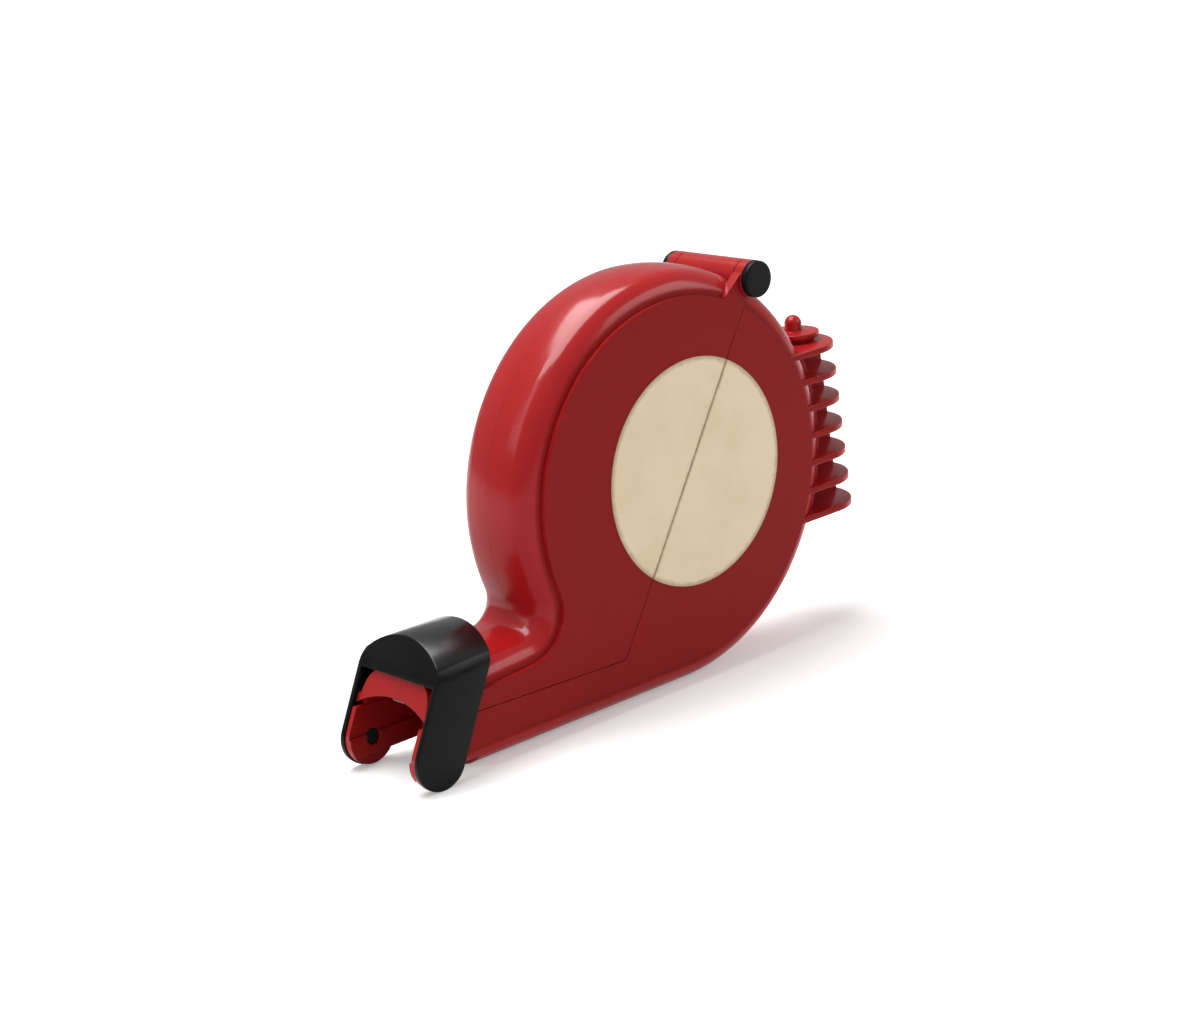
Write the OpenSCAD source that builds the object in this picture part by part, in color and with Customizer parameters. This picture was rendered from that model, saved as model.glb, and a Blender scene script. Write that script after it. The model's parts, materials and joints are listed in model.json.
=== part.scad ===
// Take a number dispenser: a flat drum for a roll of tickets, with a nose that leads the strip to a mouth.
// X runs along the object with the nose towards -X, Y across it, Z up. The object stands on Z = 0, and the
// origin lies under the drum's axis, on the middle plane. All sizes are in millimetres.

/* [Drum] */
// Radius of the flat side panel
panel_r = 80; // [76:0.1:86]
// Half of the distance between the two side panels
panel_half = 22.8; // [21.5:0.1:27]
// Radius of the rounded rim at the middle plane
rim_r = 92; // [89:0.1:94]
// Depth of the flat on which the rim rests
rest_flat = 0.4; // [0.1:0.1:0.8]
// Depth of the step from the side panel to the rim
rim_step = 1.8; // [1.2:0.1:2.6]
// Radius of the rim's nearly flat crown
crown_r = 61.5; // [45:0.5:90]
// Thickness of the moulded walls
wall = 2.4; // [1.8:0.1:3]

/* [Nose] */
// Distance from the drum's axis to the front edge of the nose, at the pivots
nose_len = 146.2; // [138:0.1:156]
// Radius of the hollow between the drum and the nose, at the crown of the rim
throat_in = 8; // [5:0.5:14]
// Angle of the nose's front wall from the ground, in degrees
front_angle = 65; // [60:1:72]
// Height of the seam between cover and base, at the nose's front
seam_front_z = 27; // [24:0.5:30]
// Height of the seam's corner
seam_corner_z = 23.4; // [20:0.2:25]
// Width of the gap along the seam
seam_gap = 0.4; // [0.2:0.1:0.8]
// Rise of the arched cut-out in the front wall
arch_rise = 5.6; // [3:0.2:8]
// Height of the front wall's lower corners
arch_foot_z = 28.5; // [27.5:0.1:31]
// Length of the open bottom behind the ears
chin_len = 27; // [18:1:36]

/* [Hood] */
// Radius of the hood's legs at the pivots, which is also the height of the pivots
leg_r = 12.4; // [11:0.1:14]
// Thickness of the hood's legs and roof
hood_wall = 2.35; // [1.8:0.05:3]
// Thickness of the hood's front face
hood_face = 1.5; // [1.2:0.1:2.4]
// Height of the hood's top
hood_top_z = 58.3; // [56:0.1:64]
// Radius of the arched roof
hood_arch_r = 36; // [32:0.5:60]
// Height of the lower edge of the hood's front face
hood_face_z = 42.7; // [38:0.1:46]
// Clearance between the hood and the nose
hood_gap = 0.3; // [0.2:0.05:0.6]
// Radius of the studs on which the hood swings
stud_r = 3.4; // [2.5:0.1:4.5]

/* [Hinge] */
// Height of the hinge's axis above the rim
hinge_rise = 1.2; // [0:0.1:3]
// Angle of the hinge's axis above the horizontal, seen from the drum's axis
hinge_angle = 58.5; // [54:0.5:63]
// Radius of the hinge barrel
barrel_r = 8.1; // [7:0.1:9]
// Length of each end knuckle, which belongs to the cover
knuckle_len = 5.1; // [4:0.1:7]
// Radius of the hinge pin
hinge_pin_r = 2.5; // [2:0.1:3.5]
// Thickness of the end caps
cap_len = 3; // [2:0.1:5]

/* [Mount block] */
// Number of fins
fin_count = 7; // [5:1:7]
// Height of the lowest fin's underside
fin_low_z = 53.4; // [50:0.1:56]
// Distance from one fin to the next
fin_pitch = 12.55; // [11.6:0.05:13]
// Thickness of a fin
fin_t = 2.8; // [2:0.1:3.6]
// Radius of a fin's round end, which is also half of its width
fin_r = 21.5; // [18:0.1:22.5]
// Distance from the drum's axis to the centre of the lowest fin's round end
fin_low_x = 97.1; // [94:0.1:102]
// Distance by which each fin is set back from the one below
fin_set_back = 1.16; // [0:0.02:1.6]
// Thickness of the middle web
web_t = 3; // [2:0.1:5]
// Thickness of the saddle that lies on the rim
saddle_t = 2; // [1.5:0.1:3]

/* [Mount pin] */
// Radius of the pin
pin_r = 3.9; // [3:0.1:5]
// Length of the pin's straight part above the collar
pin_len = 3.4; // [2:0.1:8]
// Radius of the collar
collar_r = 11.6; // [8:0.1:13]
// Thickness of the collar
collar_t = 2.4; // [1.5:0.1:4]
// Height of the neck between the top fin and the collar
neck_h = 1.9; // [1:0.1:4]
// Distance from the centre of the top fin's round end to the pin, towards the back
pin_set_out = 5.5; // [2:0.1:8]

/* [Ticket roll] */
// Radius of the full roll
roll_r = 74; // [60:0.5:76]
// Width of the tickets
ticket_w = 34; // [28:0.5:36]
// Outer radius of the card core
core_r = 19; // [12:0.5:25]
// Thickness of the card core
core_t = 2; // [1:0.1:3]
// Thickness of the paper strip
strip_t = 0.4; // [0.2:0.05:0.6]

/* [Label] */
// Radius of the label
label_r = 50; // [40:0.5:60]
// Thickness of the label
label_t = 0.3; // [0.2:0.05:0.5]

/* [Hidden] */
$fn = 96;
red = [0.72, 0.11, 0.11];
black = [0.09, 0.09, 0.10];
paper = [0.88, 0.82, 0.68];
steel = [0.70, 0.70, 0.72];
card = [0.62, 0.48, 0.33];

far = 300;
half_turn = 180;
run_fit = 0.05;
seat = 0.3;

// Drum and rim: two shoulders and a crown meet without a step, over a foot at the panel's edge
drum_z = rim_r - rest_flat;
foot_r = panel_r;
bulge = rim_r - foot_r;
rim_half = panel_half - rim_step;
shoulder_r = (2 * crown_r * bulge - rim_half * rim_half - bulge * bulge) / (2 * (crown_r - rim_half));
shoulder_y = rim_half - shoulder_r;
crown_c = bulge - crown_r;
crown_reach = 2 * crown_r / (crown_r - shoulder_r);
throat_r = throat_in + bulge;
inner_half = panel_half - wall;
band = 6;

// Nose
pivot = [-nose_len, leg_r];
front_dir = [cos(front_angle), sin(front_angle)];
front_out = [-sin(front_angle), cos(front_angle)];
front_d = leg_r - hood_face - hood_gap;
ear_r = leg_r - 0.6;
function top_at(x) = throat_foot[1] + (x - throat_foot[0]) * top_unit[1] / top_unit[0];
function along_front(d, s) = pivot + d * front_out + s * front_dir;
function front_x(d, z) = along_front(d, 0)[0] + (z - along_front(d, 0)[1]) / tan(front_angle);
// Directions of the throat from the drum, and of the nose's top edge: whole triples keep the arcs tangent
throat_unit = [-0.936, -0.352];
top_unit = [0.99712, 0.07584];
top_out = [-top_unit[1], top_unit[0]];
throat_c = [0, drum_z] + (panel_r + throat_r) * throat_unit;
throat_foot = throat_c - throat_r * top_out;
throat_a0 = atan2(-top_out[1], -top_out[0]);
throat_a1 = atan2(-throat_unit[1], -throat_unit[0]);
nose_slope = atan2(top_unit[1], top_unit[0]);
function dir(a) = [cos(a), sin(a)];
nose_end = -nose_len - 30;
floor_z = drum_z - panel_r;
chin_x = -nose_len + chin_len;

// Seam and hinge
hinge_dir = [cos(hinge_angle), sin(hinge_angle)];
hinge_side = [-sin(hinge_angle), cos(hinge_angle)];
hinge_c = [0, drum_z] + (rim_r + hinge_rise) * hinge_dir;
seam_corner = [-(drum_z - seam_corner_z) / tan(hinge_angle), seam_corner_z];
seam_slope = (seam_front_z - seam_corner_z) / (-nose_len - seam_corner[0]);
function seam_at(x) = seam_corner_z + (x - seam_corner[0]) * seam_slope;
seam_shift = seam_gap * [-tan(hinge_angle / 2), 1];
knuckle_out = panel_half + 0.5;
knuckle_in = knuckle_out - knuckle_len;
barrel_gap = 0.4;

cap_bite = 1.5;
cap_round = 1;
dowel_r = 1.5;
dowel_len = 12;
dowel_at = 83.5;
boss_r = 3;
boss_end = 18.2;
cover_dowel_angles = [100, 150, 185];
base_dowel_angles = [40, 5, 335];

// Hood and front wall
hood_in = panel_half + hood_gap;
hood_out = hood_in + hood_wall;
stud_bite = 1.3;
blend = 0.01;
arch_r = (panel_half * panel_half + arch_rise * arch_rise) / (2 * arch_rise);
arch_z = arch_foot_z + arch_rise - arch_r;
chin_half = 19.2;

// Brake leaf under the nose's roof
leaf_t = 0.4;
leaf_w = 12;
leaf_flat = 14;
leaf_pad = 4;
leaf_x0 = chin_x - 12;
leaf_z = top_at(leaf_x0) + bulge - wall - 2.5;
leaf_end = [-nose_len + 5.2, seam_front_z + 2];
rivet_r = 1;
rivet_xs = [leaf_x0 + 3.5, leaf_x0 + 10.5];

// Label
label_c = [7.2, drum_z + 3];

// Ticket path
guide_t = 1.6;
guide_w = 33;
guide_x0 = 20;
guide_len = 80;
guide_foot_y = 14.8;
roll_drop = foot_r + sqrt(pow(shoulder_r - wall, 2) - pow(max(ticket_w / 2 - shoulder_y, 0), 2)) - roll_r - seat;
roll_z = drum_z - roll_drop;
guide_foot_z = floor_z - sqrt(pow(shoulder_r - wall, 2) - pow(guide_foot_y + guide_t / 2 - shoulder_y, 2)) + seat;
strip_front = [-nose_len + 10, seam_front_z - 1];
strip_dist = norm([0, roll_z] - strip_front);
strip_angle = atan2(roll_z - strip_front[1], -strip_front[0]) - asin((roll_r + seat + strip_t) / strip_dist);
strip_len = sqrt(strip_dist * strip_dist - pow(roll_r + seat + strip_t, 2));

// Fins
fin_top = fin_low_z + (fin_count - 1) * fin_pitch + fin_t;
screw_zs = [fin_low_z + 1.5 * fin_pitch + fin_t / 2, fin_low_z + 4.5 * fin_pitch + fin_t / 2];
screw_r = 1.5;
screw_head_r = 3;
screw_head_h = 1.8;
screw_pad_r = 4.5;
screw_boss_r = 3.2;
saddle_half = 16;
spigot_r = 2.5;
spigot_len = 2;
function screw_seat(z) = sqrt(pow(rim_r - wall, 2) - pow(z - drum_z, 2)) - 1.6;
function screw_end(z) = screw_seat(z) + 11;
pin_c = [fin_low_x - (fin_count - 1) * fin_set_back + pin_set_out, fin_top];

// A solid whose outline in the XZ plane is the child, with the width w across the middle plane
module slab(w) {
    rotate([90, 0, 0]) linear_extrude(w, center = true) children();
}

// The same between two Y values
module slab_from(y0, y1) {
    translate([0, y1, 0]) rotate([90, 0, 0]) linear_extrude(y1 - y0) children();
}

// A round rod along Y
module rod(p, r, y0, y1) {
    translate([p[0], y1, p[1]]) rotate([90, 0, 0]) cylinder(h = y1 - y0, r = r);
}

// The same rod on both sides of the middle plane
module rod_pair(p, r, y0, y1) {
    rod(p, r, y0, y1);
    rod(p, r, -y1, -y0);
}

// Section of the rim over its foot, drawn in by w
module rim_2d(w) {
    for (s = [-1, 1])
        translate([0, s * shoulder_y]) circle(shoulder_r - w);
    translate([-shoulder_r, -shoulder_y]) square([shoulder_r, 2 * shoulder_y]);
    intersection() {
        translate([crown_c, 0]) circle(crown_r - w);
        translate([crown_c, 0]) polygon([0.9 * [-crown_c, -shoulder_y], crown_reach * [-crown_c, -shoulder_y],
            crown_reach * [-crown_c, shoulder_y], 0.9 * [-crown_c, shoulder_y]]);
    }
}

// Section of the case's wall at its rim, on one side of the middle plane
module wall_2d(side) {
    intersection() {
        difference() {
            union() {
                rim_2d(0);
                translate([-band, -panel_half]) square([band, 2 * panel_half]);
            }
            rim_2d(wall);
            translate([-2 * band, -inner_half]) square([2 * band - wall, 2 * inner_half]);
        }
        translate([-band, side > 0 ? -far : 0]) square(far);
    }
}

// Section of the whole drum from its axis outwards, grown by g
module drum_2d(g) {
    translate([0, -panel_half - g]) square([panel_r + g, 2 * (panel_half + g)]);
    translate([foot_r, 0]) rim_2d(-g);
}

// The drum as a solid
module drum(g) {
    translate([0, 0, drum_z]) rotate([90, 0, 0]) rotate_extrude() drum_2d(g);
}

// The child section carried along a straight edge through p, from t0 to t1 in the direction of the angle a
module along_edge(p, a, t0, t1) {
    translate([p[0], 0, p[1]]) rotate([0, -a, 0]) rotate([90, 0, 90]) translate([0, 0, t0])
        linear_extrude(t1 - t0) rotate(90) children();
}

// The child section carried along the nose's top edge
module along_top() {
    along_edge(throat_foot, nose_slope, nose_end / 2, 0) children();
}

// Side outline of the side panel, a little inside the rim
module panel_2d() {
    translate([0, drum_z]) circle(panel_r - 3);
    polygon([[0, floor_z + 2], [nose_end, floor_z + 2], [nose_end, top_at(nose_end) - 2],
        throat_foot - 2 * top_out + 3 * dir(nose_slope), throat_c + 1.8 * throat_r * dir(throat_a0 + 25),
        throat_c + 2.25 * throat_r * dir(throat_a1), [0, drum_z]]);
    difference() {
        polygon([throat_c, throat_c + 2 * throat_r * dir(throat_a0),
            throat_c + 3 * throat_r * dir((throat_a0 + throat_a1) / 2), throat_c + 2.5 * throat_r * dir(throat_a1)]);
        translate(throat_c) circle(throat_r + 1);
    }
}

// Everything between two Y values, given as distances from the middle plane on one side
module layer(side, y0, y1) {
    slab_from(side > 0 ? y0 : -y1, side > 0 ? y1 : -y0) children();
}

// The wedge of the drum that the nose takes up
module nose_wedge_2d() {
    polygon([[0, drum_z], [0, -far], [-far, -far], [-far, throat_c[1]], throat_c]);
}

// The case's wall on one side of the middle plane: drum, floor and side panel
module case_wall(side) {
    difference() {
        translate([0, 0, drum_z]) rotate([90, 0, 0]) rotate_extrude() translate([foot_r, 0]) wall_2d(side);
        slab(far) nose_wedge_2d();
    }
    along_edge([0, floor_z], half_turn, 0, -nose_end) wall_2d(side);
    layer(side, inner_half, panel_half) panel_2d();
}

// The case's wall round the throat and along the nose's top
module nose_wall(side) {
    intersection() {
        translate([throat_c[0], 0, throat_c[1]]) rotate([90, 0, 0]) rotate_extrude()
            translate([throat_r, 0]) mirror([1, 0]) wall_2d(side);
        slab(far) polygon([throat_c, throat_c - 3 * throat_r * top_out,
            throat_c + 5 * throat_r * dir((throat_a0 + throat_a1) / 2), throat_c - 3 * throat_r * throat_unit]);
    }
    along_top() wall_2d(side);
}

// The nose's front wall
module front_wall(side) {
    intersection() {
        along_top() intersection() {
            rim_2d(0);
            translate([-1, side > 0 ? -far : 0]) square(far);
        }
        slab(far) front_strip_2d();
    }
    layer(side, 0, inner_half + 1) intersection() {
        front_strip_2d();
        polygon([[nose_end, seam_corner_z - 5], [nose_end, top_at(nose_end)], [0, top_at(0)], [0, seam_corner_z - 5]]);
    }
}

module front_strip_2d() {
    translate(pivot) rotate(front_angle) translate([-far, front_d - wall]) square([2 * far, wall]);
}

// Everything behind a plane parallel to the nose's front
module behind_front(d) {
    p0 = along_front(d, -far);
    p1 = along_front(d, far);
    polygon([p0, p1, p1 - 2 * far * front_out, p0 - 2 * far * front_out]);
}

module before_front(d) {
    p0 = along_front(d, -far);
    p1 = along_front(d, far);
    polygon([p0, p1, p1 + far * front_out, p0 + far * front_out]);
}

// The cover's side of the seam, moved by k gap widths
module cover_side(k) {
    translate(k * seam_shift)
        polygon([seam_corner, seam_corner + 2 * far * hinge_dir, [-2 * far, 2 * far], [-2 * far, seam_at(-2 * far)]]);
}

function on_drum(r, a) = [r * cos(a), drum_z + r * sin(a)];

// Bosses that hold the dowels, and the bores in them
module dowel_bosses(angles, side) {
    for (a = angles) layer(side, 0, boss_end) translate(on_drum(dowel_at, a)) circle(boss_r);
}

module dowel_bores(angles) {
    for (a = angles) rod(on_drum(dowel_at, a), dowel_r + run_fit, -dowel_len / 2 - seat, dowel_len / 2 + seat);
}

module dowels(angles) {
    for (a = angles) rod(on_drum(dowel_at, a), dowel_r, -dowel_len / 2, dowel_len / 2);
}

// The ears beside the barrel that carry the end knuckles
module knuckle_web_2d() {
    polygon([hinge_c + (barrel_r - 0.2) * hinge_side, hinge_c, on_drum(panel_r - wall, hinge_angle + seam_gap),
        on_drum(panel_r - wall, hinge_angle + 9), on_drum(panel_r + 1, hinge_angle + 9)]);
}

module cover_shell(side) {
    difference() {
        union() {
            difference() {
                union() {
                    case_wall(side);
                    nose_wall(side);
                    front_wall(side);
                }
                slab(far) before_front(front_d);
                rod(hinge_c, barrel_r + barrel_gap, -knuckle_in, knuckle_in);
            }
            layer(side, knuckle_in, panel_half) knuckle_web_2d();
            dowel_bosses(cover_dowel_angles, side);
            translate([leaf_x0 - 1, side > 0 ? 0 : -leaf_w / 2 - 1, leaf_z])
                cube([leaf_flat + 2, leaf_w / 2 + 1, leaf_pad]);
            layer(side, knuckle_in, knuckle_out) translate(hinge_c) circle(barrel_r);
        }
        difference() {
            slab(far) difference() {
                square(4 * far, center = true);
                cover_side(0.5);
            }
            rod_pair(hinge_c, barrel_r, knuckle_in - 1, knuckle_out + 1);
        }
        rod(hinge_c, hinge_pin_r + run_fit, -far, far);
        dowel_bores(cover_dowel_angles);
        rivet_holes();
        intersection() {
            translate([-far, 0, arch_z]) rotate([0, 90, 0]) cylinder(h = far, r = arch_r);
            slab(far) before_front(front_d - wall - 0.5);
        }
    }
}

module cover_near() {
    color(red) cover_shell(-1);
}

module cover_far() {
    color(red) cover_shell(1);
}

module base_shell(side) {
    difference() {
        union() {
            difference() {
                case_wall(side);
                slab(far) cover_side(-0.5);
                slab(far) before_front(ear_r);
                slab(far) toe_2d();
                slab(2 * chin_half) chin_2d();
                rod_pair(hinge_c, barrel_r + barrel_gap, knuckle_in - barrel_gap, far);
            }
            layer(side, 0, knuckle_in - barrel_gap) translate(hinge_c) circle(barrel_r);
            layer(side, inner_half, panel_half) translate(pivot) circle(ear_r);
            dowel_bosses(base_dowel_angles, side);
            intersection() {
                for (z = screw_zs)
                    translate([screw_seat(z), 0, z]) rotate([0, 90, 0]) cylinder(h = wall + 1, r = screw_pad_r);
                layer(side, 0, panel_half) square(far);
            }
        }
        rod(hinge_c, hinge_pin_r + run_fit, -far, far);
        rod(pivot, stud_r + run_fit, -far, far);
        dowel_bores(base_dowel_angles);
        for (z = screw_zs)
            translate([0, 0, z]) rotate([0, 90, 0]) cylinder(h = far, r = screw_r + run_fit);
        translate([-far, -far, -far]) cube([2 * far, 2 * far, far]);
    }
}

// The corner below the pivot, outside the ear's round end
module toe_2d() {
    difference() {
        translate(pivot) rotate(front_angle) translate([-far, 0]) square(far);
        translate(pivot) circle(ear_r);
    }
}

// The open bottom of the nose
module chin_2d() {
    polygon([[chin_x, floor_z + wall + 1], [chin_x - floor_z / tan(front_angle), -1], [-far, -1],
        [-far, floor_z + wall + 1]]);
}

module base_near() {
    color(red) base_shell(-1);
}

module base_far() {
    color(red) base_shell(1);
}

module hinge_pin() {
    color(steel) rod(hinge_c, hinge_pin_r, -knuckle_out - cap_bite, knuckle_out + cap_bite);
}

module hinge_cap(side) {
    translate([hinge_c[0], side * (knuckle_out + 0.1), hinge_c[1]]) rotate([side > 0 ? -90 : 90, 0, 0])
        difference() {
            rotate_extrude() {
                square([barrel_r - 0.1, cap_len - cap_round]);
                square([barrel_r - 0.1 - cap_round, cap_len]);
                translate([barrel_r - 0.1 - cap_round, cap_len - cap_round]) circle(cap_round);
            }
            translate([0, 0, -1]) cylinder(h = cap_bite + 1, r = hinge_pin_r + run_fit);
        }
}

module hinge_cap_near() {
    color(black) hinge_cap(-1);
}

module hinge_cap_far() {
    color(black) hinge_cap(1);
}

// Section of the hood across the nose: an arched roof on two straight legs
module hood_section_2d(w) {
    intersection() {
        translate([0, hood_top_z - hood_arch_r]) circle(hood_arch_r - w);
        translate([-hood_out + w, hood_top_z - hood_arch_r]) square([2 * (hood_out - w), far]);
    }
    translate([-hood_out + w, -1]) square([2 * (hood_out - w), hood_top_z - hood_arch_r + 2]);
}

// Side outline of the hood
module hood_side_2d() {
    translate(pivot) circle(leg_r);
    translate(pivot) rotate(front_angle) translate([0, blend - leg_r]) square([far, 2 * (leg_r - blend)]);
}

module hood() {
    color(black) difference() {
        intersection() {
            translate([-far, 0, 0]) rotate([90, 0, 90]) linear_extrude(far) hood_section_2d(0);
            slab(far) hood_side_2d();
        }
        intersection() {
            translate([-far, 0, 0]) rotate([90, 0, 90]) linear_extrude(far) hood_section_2d(hood_wall);
            slab(far) behind_front(leg_r - hood_face);
        }
        translate([-far, -hood_in, -far]) cube([far, 2 * hood_in, far + hood_face_z]);
        rod_pair(pivot, stud_r + run_fit, 0, hood_in + stud_bite);
    }
}

module hood_studs() {
    color(black) rod_pair(pivot, stud_r, inner_half - seat, hood_in + stud_bite);
}

function tip_x(z) = fin_low_x + fin_r - (z - fin_low_z) * fin_set_back / fin_pitch;

module mount_block() {
    color(red) difference() {
        union() {
            for (k = [0 : fin_count - 1])
                translate([fin_low_x - k * fin_set_back, 0, fin_low_z + k * fin_pitch])
                    linear_extrude(fin_t) {
                        circle(fin_r);
                        translate([-fin_low_x / 2, -fin_r]) square([fin_low_x / 2, 2 * fin_r]);
                    }
            slab(web_t) polygon([[panel_r / 2, fin_low_z], [tip_x(fin_low_z) - 1, fin_low_z],
                [tip_x(fin_top) - 1, fin_top], [panel_r / 2, fin_top]]);
            intersection() {
                drum(saddle_t + run_fit);
                translate([panel_r / 2, -saddle_half, fin_low_z]) cube([far, 2 * saddle_half, fin_top - fin_low_z]);
            }
            for (z = screw_zs)
                translate([panel_r / 2, 0, z]) rotate([0, 90, 0])
                    cylinder(h = screw_end(z) + 2 - panel_r / 2, r = screw_boss_r);
        }
        drum(run_fit);
        for (z = screw_zs)
            translate([panel_r / 2, 0, z]) rotate([0, 90, 0])
                cylinder(h = screw_end(z) + seat - panel_r / 2, r = screw_r + run_fit);
        translate([pin_c[0], 0, fin_top - spigot_len - 0.1]) cylinder(h = far, r = spigot_r + run_fit);
    }
}

module mount_pin() {
    color(red) translate([pin_c[0], 0, fin_top]) rotate_extrude() {
        translate([0, -spigot_len]) square([spigot_r, spigot_len + 1]);
        square([collar_r - 2.1, neck_h + 1]);
        translate([0, neck_h]) square([collar_r, collar_t]);
        translate([0, neck_h]) square([pin_r, collar_t + pin_len]);
        intersection() {
            translate([0, neck_h + collar_t + pin_len]) circle(pin_r);
            translate([0, neck_h]) square([pin_r, far]);
        }
    }
}

module mount_screws() {
    color(steel) for (z = screw_zs)
        translate([screw_seat(z), 0, z]) rotate([0, 90, 0]) {
            cylinder(h = screw_end(z) - screw_seat(z), r = screw_r);
            translate([0, 0, -screw_head_h]) cylinder(h = screw_head_h, r = screw_head_r);
        }
}

module label_disc() {
    slab_from(-panel_half - label_t, -panel_half) difference() {
        translate(label_c) circle(label_r);
        children();
    }
}

module label_cover() {
    color(paper) label_disc() difference() {
        square(4 * far, center = true);
        cover_side(0.5);
    }
}

module label_base() {
    color(paper) label_disc() cover_side(-0.5);
}

module ticket_roll() {
    color(paper) difference() {
        rod([0, roll_z], roll_r, -ticket_w / 2, ticket_w / 2);
        rod([0, roll_z], core_r + 0.1, -far, far);
    }
}

module roll_core() {
    color(card) difference() {
        rod([0, roll_z], core_r, -ticket_w / 2, ticket_w / 2);
        rod([0, roll_z], core_r - core_t, -far, far);
    }
}

// The straight path of the strip from the roll to the mouth: local x runs along it, local y upwards
module on_strip() {
    translate([0, roll_z]) rotate(strip_angle) translate([-strip_len, -roll_r - seat - strip_t]) children();
}

module ticket_strip() {
    color(paper) slab(ticket_w) on_strip() square([strip_len, strip_t]);
}

module strip_guide() {
    color(black) {
        slab(guide_w) on_strip() translate([guide_x0, -guide_t - seat]) square([guide_len, guide_t]);
        for (s = [-1, 1])
            intersection() {
                slab_from(s * guide_foot_y - guide_t / 2, s * guide_foot_y + guide_t / 2)
                    on_strip() translate([guide_x0, -far]) square([guide_len, far - seat - guide_t / 2]);
                translate([-far, -far, guide_foot_z]) cube(2 * far);
            }
    }
}

module leaf_2d() {
    polygon([[leaf_x0 + leaf_flat, leaf_z], [leaf_x0, leaf_z], leaf_end + [0, leaf_t], leaf_end,
        [leaf_x0, leaf_z - leaf_t], [leaf_x0 + leaf_flat, leaf_z - leaf_t]]);
}

module brake_leaf() {
    color(steel) difference() {
        slab(leaf_w) leaf_2d();
        rivet_holes();
    }
}

module rivet_holes() {
    for (x = rivet_xs)
        translate([x, 0, leaf_z - 1]) cylinder(h = leaf_pad - 0.5, r = rivet_r + run_fit);
}

module brake_rivets() {
    color(steel) for (x = rivet_xs) {
        translate([x, 0, leaf_z - leaf_t]) cylinder(h = leaf_t + leaf_pad - 2.2, r = rivet_r);
        translate([x, 0, leaf_z - leaf_t - 0.8]) cylinder(h = 0.8, r = 2 * rivet_r);
    }
}

module cover_dowels() {
    color(steel) dowels(cover_dowel_angles);
}

module base_dowels() {
    color(steel) dowels(base_dowel_angles);
}

base_near();
base_far();
cover_near();
cover_far();
hinge_pin();
hinge_cap_near();
hinge_cap_far();
hood();
hood_studs();
mount_block();
mount_pin();
mount_screws();
label_cover();
label_base();
ticket_roll();
roll_core();
ticket_strip();
strip_guide();
brake_leaf();
brake_rivets();
cover_dowels();
base_dowels();
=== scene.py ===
# %% [markdown]
# # A take-a-number dispenser, dressed for its portrait
# The solid model of the dispenser is already made to size: a flat drum for a roll of tickets, a
# nose with a mouth, a black hood on two studs, a hinge on top and a block of seven fins behind.
# This lesson gives each of its pieces the surface of the real one, and makes again the pieces
# whose soft edges catch the light. The first cell loads the solids as a fixed frame, with a helper
# that reads a solid's outer box.

# %% Load the solids
import json
import math

import bmesh
import bpy
from mathutils import Matrix, Vector


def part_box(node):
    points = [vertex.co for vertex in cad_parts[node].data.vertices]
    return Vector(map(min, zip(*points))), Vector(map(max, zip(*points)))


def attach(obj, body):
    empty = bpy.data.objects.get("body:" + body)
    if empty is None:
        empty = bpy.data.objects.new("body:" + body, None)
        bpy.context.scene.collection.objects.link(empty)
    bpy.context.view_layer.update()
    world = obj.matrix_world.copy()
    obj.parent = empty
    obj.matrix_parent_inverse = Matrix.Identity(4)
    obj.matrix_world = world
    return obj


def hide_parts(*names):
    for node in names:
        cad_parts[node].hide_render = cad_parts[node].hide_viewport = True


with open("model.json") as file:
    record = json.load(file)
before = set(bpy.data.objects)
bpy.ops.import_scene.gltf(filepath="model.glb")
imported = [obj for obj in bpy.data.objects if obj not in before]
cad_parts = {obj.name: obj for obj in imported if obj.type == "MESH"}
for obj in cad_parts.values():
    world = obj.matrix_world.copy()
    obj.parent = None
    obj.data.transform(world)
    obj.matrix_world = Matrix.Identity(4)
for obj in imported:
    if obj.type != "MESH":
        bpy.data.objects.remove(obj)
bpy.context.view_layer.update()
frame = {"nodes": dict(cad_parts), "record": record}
NODES = frame["nodes"]
BODIES = frame["record"]["behaviour"]["bodies"]
MM = 0.001
print("solids loaded:", len(NODES), "in bodies", sorted(BODIES))

# %% [markdown]
# ## The camera
# The dispenser is seen from in front of its nose, from the near side and a little from above,
# through a long lens. A camera can be aimed with an empty and a constraint, but a photograph also
# has a roll, so the three axes of the camera are written out here: its right, its up and the way
# back from what it looks at.

# %% Camera
CAMERA_AT = Vector((-705.3, -765.6, 386.1)) * MM
CAMERA_RIGHT = Vector((0.7324, -0.6766, -0.0762))
CAMERA_BACK = Vector((-0.6347, -0.7189, 0.2835))
LENS_MM = 74.74
SENSOR_MM = 36.0


def new_object(name, data):
    """An object for a mesh, a lamp or a camera, linked into the scene."""
    made = bpy.data.objects.new(name, data)
    bpy.context.scene.collection.objects.link(made)
    return made


def place_camera():
    """A camera at the photograph's place, with its axes squared up."""
    back = CAMERA_BACK.normalized()
    right = (CAMERA_RIGHT - CAMERA_RIGHT.dot(back) * back).normalized()
    up = back.cross(right)
    data = bpy.data.cameras.new("counter_view")
    data.lens = LENS_MM
    data.sensor_width = SENSOR_MM
    camera = new_object("counter_view", data)
    turn = Matrix((right, up, back)).transposed().to_4x4()
    camera.matrix_world = Matrix.Translation(CAMERA_AT) @ turn
    bpy.context.scene.camera = camera
    return camera


camera = place_camera()
print("camera at", [round(v, 3) for v in camera.location], "lens", LENS_MM)

# %% [markdown]
# ## Small helpers for shader trees
# Every finish below is a tree of shader nodes. Short helpers keep the trees readable: one adds a
# node and fills or links its inputs, a few do arithmetic, one turns a colour as a paint chart
# gives it, from 0 to 255, into the linear numbers that a shader wants, and two mix such colours.

# %% Adding nodes


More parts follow.
